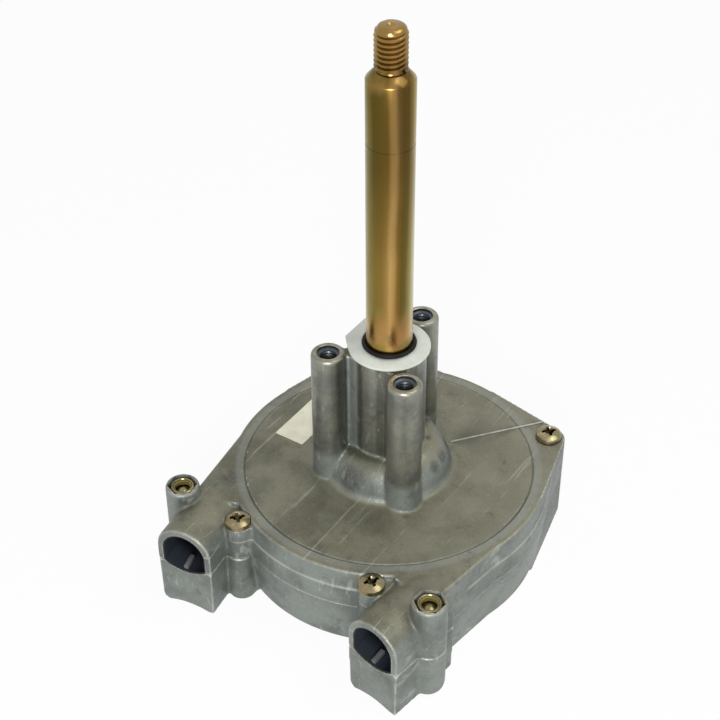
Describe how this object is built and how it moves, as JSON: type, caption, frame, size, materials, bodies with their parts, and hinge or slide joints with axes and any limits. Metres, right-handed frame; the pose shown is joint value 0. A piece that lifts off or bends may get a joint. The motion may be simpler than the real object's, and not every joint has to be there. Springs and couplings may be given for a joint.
{
  "type": "boat steering helm",
  "caption": "Rotary mechanical steering helm for a small boat: a wheel shaft in a tall bossed tower turns a geared cable wheel inside a round cast housing with side-by-side cable outlets.",
  "frame": {"origin": "on the wheel shaft's axis, in the plane of the flat rear face", "axes": "+Z along the wheel shaft towards the steering wheel; -Y towards the two cable outlets; +X towards the right outlet"},
  "size_m": [0.14, 0.1571, 0.2482],
  "materials": {
    "cast_aluminium": "dull grey sand-blasted casting with brighter worn edges",
    "zinc_steel": "yellow zinc plating, satin, faintly iridescent",
    "green_nylon": "matte",
    "white_nylon": "matte",
    "dark_plastic": "matte",
    "label_film": "matte film, left blank",
    "black_rubber": "matte",
    "bronze": "satin",
    "gear_steel": "machined, oiled",
    "spring_steel": "dark phosphate",
    "wheel_alloy": "die cast, smooth"
  },
  "bodies": {
    "housing": {"front_cover": "cast_aluminium", "rear_housing": "cast_aluminium", "cover_screws": "zinc_steel", "clamp_bolts": "zinc_steel", "clamp_nuts": "zinc_steel", "nut_rings": "green_nylon", "upper_bush": "white_nylon", "lower_bush": "white_nylon", "floor_bush": "white_nylon", "tower_washer": "white_nylon", "planet_pins": "gear_steel", "planet_washers": "bronze", "pin_plate": "gear_steel", "pin_clips": "spring_steel", "pinion_washer": "bronze", "wheel_circlip": "spring_steel", "wheel_washer": "white_nylon", "cable_guide_left": "dark_plastic", "cable_guide_right": "dark_plastic", "blank_label": "label_film"},
    "shaft": {"steering_shaft": "zinc_steel", "shaft_o_ring": "black_rubber", "shaft_circlip": "spring_steel", "shaft_washer": "bronze", "sun_pinion": "gear_steel"},
    "cable_wheel": {"cable_wheel": "wheel_alloy", "ring_gear": "gear_steel", "ring_dowels": "spring_steel", "wheel_bearing": "white_nylon"},
    "planet_1": {"planet_gear_1": "gear_steel", "planet_bush_1": "bronze"},
    "planet_2": {"planet_gear_2": "gear_steel", "planet_bush_2": "bronze"},
    "planet_3": {"planet_gear_3": "gear_steel", "planet_bush_3": "bronze"}
  },
  "joints": [
    {"name": "wheel_turn", "type": "hinge", "parent": "housing", "child": "cable_wheel", "pos_m": [0, 0, 0.0309], "axis": [0, 0, 1], "continuous": true},
    {"name": "shaft_turn", "type": "hinge", "parent": "housing", "child": "shaft", "pos_m": [0, 0, 0.1057], "axis": [0, 0, 1], "continuous": true},
    {"name": "planet_turn_1", "type": "hinge", "parent": "housing", "child": "planet_1", "pos_m": [0, 0.027, 0.01575], "axis": [0, 0, 1], "continuous": true},
    {"name": "planet_turn_2", "type": "hinge", "parent": "housing", "child": "planet_2", "pos_m": [-0.02338, -0.0135, 0.01575], "axis": [0, 0, 1], "continuous": true},
    {"name": "planet_turn_3", "type": "hinge", "parent": "housing", "child": "planet_3", "pos_m": [0.02338, -0.0135, 0.01575], "axis": [0, 0, 1], "continuous": true}
  ],
  "couplings": [
    {"joint": "shaft_turn", "follows": "wheel_turn", "ratio": -5},
    {"joint": "planet_turn_1", "follows": "wheel_turn", "ratio": 2.5},
    {"joint": "planet_turn_2", "follows": "wheel_turn", "ratio": 2.5},
    {"joint": "planet_turn_3", "follows": "wheel_turn", "ratio": 2.5}
  ]
}
